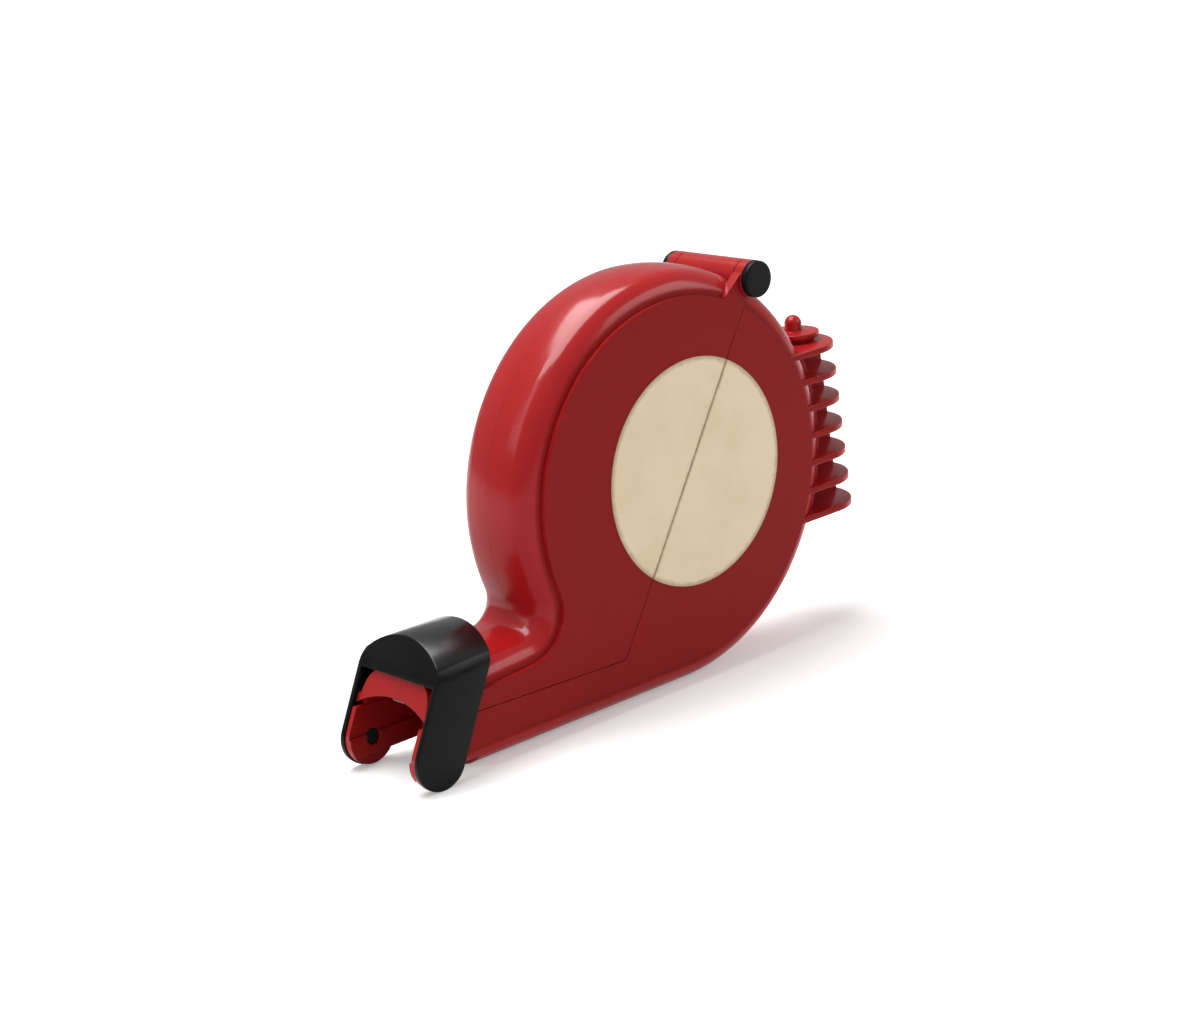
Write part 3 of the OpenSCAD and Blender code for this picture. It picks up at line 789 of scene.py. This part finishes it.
def build_pin_tree():
    """A pin with its seat at the point, its shank along +Z, its head below, turned as asked."""
    tree, given, end = new_geometry_tree("headed_pins", [
        ("Shank Radius", "NodeSocketFloat", 0.0015), ("Shank Length", "NodeSocketFloat", 0.010),
        ("Tip", "NodeSocketFloat", 0.0005), ("Head Radius", "NodeSocketFloat", 0.003),
        ("Head Height", "NodeSocketFloat", 0.0018), ("Turn", "NodeSocketVector", (0.0, 0.0, 0.0)),
        ("Material", "NodeSocketMaterial", None)])
    shank = add(tree, "GeometryNodeMeshCylinder", {"fill_type": "NGON"}, Vertices=32,
                Radius=given["Shank Radius"], Depth=given["Shank Length"])
    half = add(tree, "ShaderNodeCombineXYZ", Z=multiply(tree, given["Shank Length"], 0.5))
    body = add(tree, "GeometryNodeTransform", Geometry=shank.outputs["Mesh"],
               Translation=half.outputs[0]).outputs["Geometry"]
    body = push_faces(tree, body, shank.outputs["Top"], given["Tip"], TIP_NARROWS)[0]
    widen = math_node(tree, "DIVIDE", given["Head Radius"], given["Shank Radius"])
    body, face = push_faces(tree, body, shank.outputs["Bottom"], 0.0, widen)
    for share, scale in ((HEAD_WALL, 1.0), (HEAD_DOME, DOME_NARROWS)):
        deep = multiply(tree, given["Head Height"], share)
        body, face = push_faces(tree, body, face, deep, scale)
    whole = add(tree, "GeometryNodeMergeByDistance", Geometry=body, Distance=WELD)
    turn = add(tree, "FunctionNodeEulerToRotation", Euler=given["Turn"])
    copies = add(tree, "GeometryNodeInstanceOnPoints", Points=given["Geometry"],
                 Instance=whole.outputs["Geometry"], Rotation=turn.outputs[0])
    close_tree(tree, copies.outputs["Instances"], given["Material"], end)
    return tree


pin_tree = build_pin_tree()
print("pin tree:", len(pin_tree.nodes), "nodes")

# %% [markdown]
# ## The pins in their places
# The screws run along the object, from inside the drum into the fins. The rivets stand upright in
# the brake leaf, and the dowels lie across the seam between the halves, round the drum. Each kind
# could be placed by hand, but a table of seats, a turn and five sizes keeps the numbers in sight,
# and one loop makes them all. Each result is set beside its solid to see that the sizes agree.

# %% Screws, rivets and dowels, in millimetres
UPRIGHT = (0.0, 0.0, 0.0)
ALONG_X = (0.0, math.pi / 2.0, 0.0)
ALONG_Y = (-math.pi / 2.0, 0.0, 0.0)
SCREW_SEATS = [(86.183, 0.0, 73.625), (85.813, 0.0, 111.275)]
RIVET_SEATS = [(-127.7, 0.0, 40.182), (-120.7, 0.0, 40.182)]
AXIS_Z = DRUM_AXIS.z / MM
DOWEL_REACH = 83.5
DOWEL_START = -5.5


def round_the_drum(angles):
    """Where the dowels start, at their distance from the drum's axis."""
    return [(DOWEL_REACH * math.cos(math.radians(a)), DOWEL_START,
             AXIS_Z + DOWEL_REACH * math.sin(math.radians(a))) for a in angles]


SIZES = ("Shank Radius", "Shank Length", "Tip", "Head Radius", "Head Height")
DOWEL = (1.5, 11.0, 0.5, 1.5, 0.5)
PIN_KINDS = {
    "mount_screws": (SCREW_SEATS, ALONG_X, (1.5, 10.2, 0.8, 3.0, 1.8)),
    "brake_rivets": (RIVET_SEATS, UPRIGHT, (1.0, 1.9, 0.3, 2.0, 0.8)),
    "cover_dowels": (round_the_drum((100, 150, 185)), ALONG_Y, DOWEL),
    "base_dowels": (round_the_drum((40, 5, 335)), ALONG_Y, DOWEL),
}


def corners(piece):
    """The lowest and the highest corner of a piece's own mesh."""
    places = [vertex.co for vertex in piece.data.vertices]
    return [[pick(place[k] for place in places) for k in range(3)] for pick in (min, max)]


def extent(low, high):
    """The three lengths of a box in millimetres."""
    return [round((b - a) / MM, 2) for a, b in zip(low, high)]


for node_name, (seats, turn, sizes) in PIN_KINDS.items():
    pins = grow("turned_" + node_name, seats)
    values = {label: size * MM for label, size in zip(SIZES, sizes)}
    run_tree(pins, pin_tree, {**values, "Turn": turn, "Material": FINISH[node_name]})
    freeze(pins)
    put_in_place(pins, node_name)
    print(node_name, "mm:", extent(*corners(pins)), "solid:", extent(*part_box(node_name)))

# %% [markdown]
# ## The fin stack: one plate, repeated
# Seven D-shaped plates stand behind the drum on a thin web, each set a little further back than
# the one below. They are one plate repeated by a rule, so the plate is made once and a Geometry
# Nodes tree stacks it. The stack has to lie close on the drum's rounded rim. The rim's form is
# turned here from its three arcs, round the drum's axis, as a tool to cut with.

# %% The drum's form, turned round its axis, in millimetres
DRUM_CROWN = (30.5, 61.5)
DRUM_SHOULDER = (80.0, 10.0, 11.0)
DRUM_HALF = 22.8
CROWN_STEPS, RIM_STEPS = 8, 16
CLEARANCE = 0.08


def drum_profile(grown):
    """Radius and place across, from one panel over the rim to the other."""
    centre, radius = DRUM_CROWN
    foot, across, small = DRUM_SHOULDER
    meet = math.atan2(across, foot - centre)
    last = math.acos(grown / (small + grown))
    crown = [(centre + (radius + grown) * math.cos(a), (radius + grown) * math.sin(a))
             for a in (meet * k / CROWN_STEPS for k in range(CROWN_STEPS + 1))]
    shoulder = [(foot + (small + grown) * math.cos(a), across + (small + grown) * math.sin(a))
                for a in (meet + (last - meet) * k / RIM_STEPS for k in range(1, RIM_STEPS + 1))]
    half = crown + shoulder + [(foot + grown, DRUM_HALF + grown)]
    return [(r, -y) for r, y in reversed(half)] + half[1:]


def turned_drum(name, grown, steps=240):
    """A closed solid turned round the drum's axis, grown outwards by a little."""
    work = bmesh.new()
    turns = [2.0 * math.pi * k / steps for k in range(steps)]
    rings = [[work.verts.new(Vector((r * math.cos(t), y, AXIS_Z + r * math.sin(t))) * MM)
              for t in turns] for r, y in drum_profile(grown)]
    for low_ring, high_ring in zip(rings, rings[1:]):
        for k in range(steps):
            n = (k + 1) % steps
            work.faces.new((low_ring[k], low_ring[n], high_ring[n], high_ring[k]))
    work.faces.new(rings[0])
    work.faces.new(list(reversed(rings[-1])))
    bmesh.ops.recalc_face_normals(work, faces=work.faces)
    return from_bmesh(name, work)


drum_form = turned_drum("drum_form", CLEARANCE)
print("drum form faces:", len(drum_form.data.polygons))

# %% [markdown]
# ## What the fins stand on
# A thin web runs through all seven fins, and a broad saddle lies on the rim. The web is a plain
# plate. The saddle starts as a block, and a Boolean keeps what it shares with a drum grown by the
# saddle's depth, so its back follows the rim at an even depth. Pushing points by hand would only
# come near that.

# %% The web and the saddle, in millimetres
FIN_COUNT = 7
FIN_LOW = 53.4
FIN_PITCH = 12.55
FIN_THICK = 2.8
FIN_RADIUS = 21.5
FIN_REACH = 97.1
FIN_SET_BACK = 1.16
FIN_TOP = FIN_LOW + (FIN_COUNT - 1) * FIN_PITCH + FIN_THICK
WEB_HALF = 1.5
WEB_START = 60.0
SADDLE_HALF = 16.0
SADDLE_END = 100.0
SADDLE_DEPTH = 2.05
BURIED = 0.3
SHORT_OF_TIP = 1.0


def plate_across(name, corners, half):
    """A plate from its corners along and up, reaching half its thickness to each side."""
    return prism(name, [[(x, y, z) for x, z in corners] for y in (-half, half)])


def web_end(height):
    """How far back the web reaches at a height, just short of the fins' tips."""
    tip = FIN_REACH + FIN_RADIUS - (height - FIN_LOW) * FIN_SET_BACK / FIN_PITCH
    return tip - SHORT_OF_TIP


low_z, high_z = FIN_LOW + BURIED, FIN_TOP - BURIED
web_form = plate_across("web_form", [
    (WEB_START, low_z), (web_end(low_z), low_z), (web_end(high_z), high_z),
    (WEB_START, high_z)], WEB_HALF)
saddle_form = plate_across("saddle_form", [
    (WEB_START, low_z), (SADDLE_END, low_z), (SADDLE_END, high_z),
    (WEB_START, high_z)], SADDLE_HALF)
grown_drum = turned_drum("grown_drum", SADDLE_DEPTH)
meet = saddle_form.modifiers.new("on_the_rim", "BOOLEAN")
meet.operation, meet.solver, meet.object = "INTERSECT", "EXACT", grown_drum
freeze(saddle_form)
print("saddle faces:", len(saddle_form.data.polygons))

# %% [markdown]
# ## Two trees for the fins
# The first tree makes the plate: a cylinder whose back half is moved out to two corners, which
# keeps it closed. The second stacks what it is given, joins the fins to the web, the saddle and
# the two screw bosses, and cuts the drum out of the whole. They are two trees and not one, so that
# a Bevel can round the plate's edges between them while it is still simple.

# %% The plate's tree
JUST_BEHIND = -0.00001
SIDE_STEPS = 10000.0
PLATE_WELD = 0.00001


def build_plate_tree():
    """A D-shaped plate, its round end about the origin and its square end at -X."""
    tree, given, end = new_geometry_tree("fin_plate", [
        ("End Radius", "NodeSocketFloat", 0.0215), ("Thickness", "NodeSocketFloat", 0.0028),
        ("Length", "NodeSocketFloat", 0.045), ("Material", "NodeSocketMaterial", None)])
    disc = add(tree, "GeometryNodeMeshCylinder", {"fill_type": "NGON"}, Vertices=96,
               Radius=given["End Radius"], Depth=given["Thickness"]).outputs["Mesh"]
    part = axes(tree, tree.nodes.new("GeometryNodeInputPosition").outputs[0])
    back = math_node(tree, "LESS_THAN", part["X"], JUST_BEHIND)
    steps = math_node(tree, "ROUND", multiply(tree, part["Y"], SIDE_STEPS))
    side = multiply(tree, math_node(tree, "SIGN", steps), given["End Radius"])
    corner = add(tree, "ShaderNodeCombineXYZ", X=multiply(tree, given["Length"], -1.0),
                 Y=side, Z=part["Z"]).outputs[0]
    squared = add(tree, "GeometryNodeSetPosition", Geometry=disc, Selection=back,
                  Position=corner)
    merged = add(tree, "GeometryNodeMergeByDistance", Geometry=squared.outputs["Geometry"],
                 Distance=PLATE_WELD)
    close_tree(tree, merged.outputs["Geometry"], given["Material"], end)
    return tree


plate_tree = build_plate_tree()
print("plate tree:", len(plate_tree.nodes), "nodes")

# %% The stack's tree


def along_a_line(tree, count, start, step, shape, turn=UPRIGHT):
    """Real copies of a shape from a start, one step apart, each turned alike."""
    line = add(tree, "GeometryNodeMeshLine", {"mode": "OFFSET"}, Count=count, Offset=step,
               **{"Start Location": start})
    rotation = add(tree, "FunctionNodeEulerToRotation", Euler=turn)
    copies = add(tree, "GeometryNodeInstanceOnPoints", Points=line.outputs["Mesh"],
                 Instance=shape, Rotation=rotation.outputs[0])
    real = add(tree, "GeometryNodeRealizeInstances", Geometry=copies.outputs["Instances"])
    return real.outputs["Geometry"]


def lent_form(tree, given, label):
    """The mesh of an object that is given to the tree."""
    info = add(tree, "GeometryNodeObjectInfo", {"transform_space": "RELATIVE"},
               Object=given[label])
    return info.outputs["Geometry"]


def build_stack_tree():
    """The incoming plate stacked by a step, joined to its base and cut clear of the drum."""
    tree, given, end = new_geometry_tree("fin_stack", [
        ("Count", "NodeSocketInt", 7), ("First Place", "NodeSocketVector", (0.0, 0.0, 0.0)),
        ("Step", "NodeSocketVector", (0.0, 0.0, 0.01)), ("Web", "NodeSocketObject", None),
        ("Saddle", "NodeSocketObject", None), ("Drum", "NodeSocketObject", None),
        ("Boss Radius", "NodeSocketFloat", 0.0032), ("Boss Length", "NodeSocketFloat", 0.013),
        ("Boss Low", "NodeSocketVector", (0.0, 0.0, 0.0)),
        ("Boss Step", "NodeSocketVector", (0.0, 0.0, 0.03)),
        ("Material", "NodeSocketMaterial", None)])
    fins = along_a_line(tree, given["Count"], given["First Place"], given["Step"],
                        given["Geometry"])
    boss = add(tree, "GeometryNodeMeshCylinder", {"fill_type": "NGON"}, Vertices=48,
               Radius=given["Boss Radius"], Depth=given["Boss Length"])
    bosses = along_a_line(tree, len(SCREW_SEATS), given["Boss Low"], given["Boss Step"],
                          boss.outputs["Mesh"], ALONG_X)
    joined = add(tree, "GeometryNodeMeshBoolean", {"operation": "UNION", "solver": "EXACT"},
                 **{"Self Intersection": True})
    for source in (lent_form(tree, given, "Saddle"), lent_form(tree, given, "Web"), bosses, fins):
        tree.links.new(source, joined.inputs["Mesh 2"])
    cut = add(tree, "GeometryNodeMeshBoolean", {"operation": "DIFFERENCE", "solver": "EXACT"})
    tree.links.new(joined.outputs["Mesh"], cut.inputs["Mesh 1"])
    tree.links.new(lent_form(tree, given, "Drum"), cut.inputs["Mesh 2"])
    close_tree(tree, cut.outputs["Mesh"], given["Material"], end)
    return tree


stack_tree = build_stack_tree()
print("stack tree:", len(stack_tree.nodes), "nodes")

# %% Make the fin block
BOSS_RADIUS = 3.2
BOSS_END = 13.0
low_boss, high_boss = (Vector(seat) * MM for seat in SCREW_SEATS)
fin_block = grow("stacked_fin_block", [(0.0, 0.0, 0.0)])
run_tree(fin_block, plate_tree, {
    "End Radius": FIN_RADIUS * MM, "Thickness": FIN_THICK * MM,
    "Length": (FIN_REACH - WEB_START) * MM, "Material": FINISH["mount_block"]})
round_edges(fin_block, 0.0004, 2, "MITER_SHARP")
run_tree(fin_block, stack_tree, {
    "Count": FIN_COUNT, "First Place": Vector((FIN_REACH, 0.0, FIN_LOW + FIN_THICK / 2.0)) * MM,
    "Step": Vector((-FIN_SET_BACK, 0.0, FIN_PITCH)) * MM, "Web": web_form,
    "Saddle": saddle_form, "Drum": drum_form, "Boss Radius": BOSS_RADIUS * MM,
    "Boss Length": 2.0 * BOSS_END * MM, "Boss Low": low_boss, "Boss Step": high_boss - low_boss,
    "Material": FINISH["mount_block"]})
freeze(fin_block)
for form in (drum_form, grown_drum, web_form, saddle_form):
    bpy.data.objects.remove(form)
put_in_place(fin_block, "mount_block")
print("fin block mm:", [round(v / MM, 2) for corner in corners(fin_block) for v in corner])

# %% [markdown]
# ## The floor and the white room
# The photograph is a plain cut-out on white with a soft shadow. A wide floor carries the shadow.
# To the camera and to reflections it gives off a little light of its own, more with distance as
# the lamps fade, which lifts it to white where it is fully lit, while the shadow under the drum
# stays. The world does the same: white to look at, calm as a lamp.

# %% Floor
WHITE = (1.0, 1.0, 1.0, 1.0)
FLOOR_GREY = (0.86, 0.86, 0.86, 1.0)
FLOOR_HALF = 6.0
FLOOR_DROP = 0.00005
FLOOR_LIFT = 0.30
FAR_LIFT = 0.75
LIFT_SPREAD = (0.25, 1.5)


def make_floor():
    """A wide floor that is lifted towards white for the camera, more with distance."""
    work = bmesh.new()
    bmesh.ops.create_grid(work, x_segments=2, y_segments=2, size=FLOOR_HALF)
    bmesh.ops.translate(work, verts=work.verts, vec=(0.0, 0.0, -FLOOR_DROP))
    floor = from_bmesh("pale_floor", work)
    material, tree, shader = start_finish("pale_floor", {
        "Base Color": FLOOR_GREY, "Roughness": 0.9, "Specular IOR Level": 0.1,
        "Emission Color": WHITE})
    path = tree.nodes.new("ShaderNodeLightPath").outputs
    seen = math_node(tree, "MAXIMUM", path["Is Camera Ray"], path["Is Glossy Ray"])
    seen = math_node(tree, "MAXIMUM", seen, path["Is Transmission Ray"])
    away = add(tree, "ShaderNodeVectorMath", {"operation": "LENGTH"}, i0=in_object(tree))
    lift = ramp(tree, away.outputs["Value"], *LIFT_SPREAD, FLOOR_LIFT, FAR_LIFT)
    feed(tree, shader, Emission_Strength=multiply(tree, seen, lift))
    floor.data.materials.append(material)


make_floor()
print("floor lift", FLOOR_LIFT, "to", FAR_LIFT)

# %% World
WORLD_LIGHT = 0.36


def make_world():
    """A world that looks white and lights the object only a little."""
    world = bpy.data.worlds.new("white_room")
    bpy.context.scene.world = world
    world.use_nodes = True
    tree = world.node_tree
    background = tree.nodes["Background"]
    background.inputs["Color"].default_value = WHITE
    path = tree.nodes.new("ShaderNodeLightPath").outputs
    shown = math_node(tree, "MAXIMUM", path["Is Camera Ray"], path["Is Transmission Ray"])
    strength = math_node(tree, "ADD", multiply(tree, shown, 1.0 - WORLD_LIGHT), WORLD_LIGHT)
    tree.links.new(strength, background.inputs["Strength"])


make_world()
print("world light", WORLD_LIGHT)

# %% [markdown]
# ## Soft lamps
# The rim shows broad, soft reflections from above and from the left, and the near panel is lit
# evenly and a little darker. A large soft box overhead, a tall one at the left and a fill at the
# near side give that; the panels' darker red is also painted shade. Large lamps close to the
# object make soft shadows; their size matters more than their power.

# %% Lamps
LAMP_AIM = Vector((0.0, 0.0, 0.09))


def soft_box(name, at, size, watts):
    """An area lamp of the given size in metres that faces the drum."""
    data = bpy.data.lights.new(name, "AREA")
    data.shape = "RECTANGLE"
    data.size, data.size_y = size
    data.energy = watts
    lamp = new_object(name, data)
    lamp.location = at
    lamp.rotation_mode = "QUATERNION"
    lamp.rotation_quaternion = (LAMP_AIM - Vector(at)).to_track_quat("-Z", "Y")
    return lamp


lamps = [
    soft_box("overhead_box", (-0.12, 0.28, 1.25), (1.2, 0.8), 19.0),
    soft_box("left_box", (-1.15, 0.45, 0.95), (0.5, 0.9), 1.8),
    soft_box("near_fill", (1.1, -1.25, 0.85), (1.2, 0.9), 7.5),
]
print("lamps:", [lamp.name for lamp in lamps])

# %% [markdown]
# ## Colour as written
# Standard view keeps a colour as it was chosen.

# %% Finish
bpy.context.scene.view_settings.view_transform = "Standard"
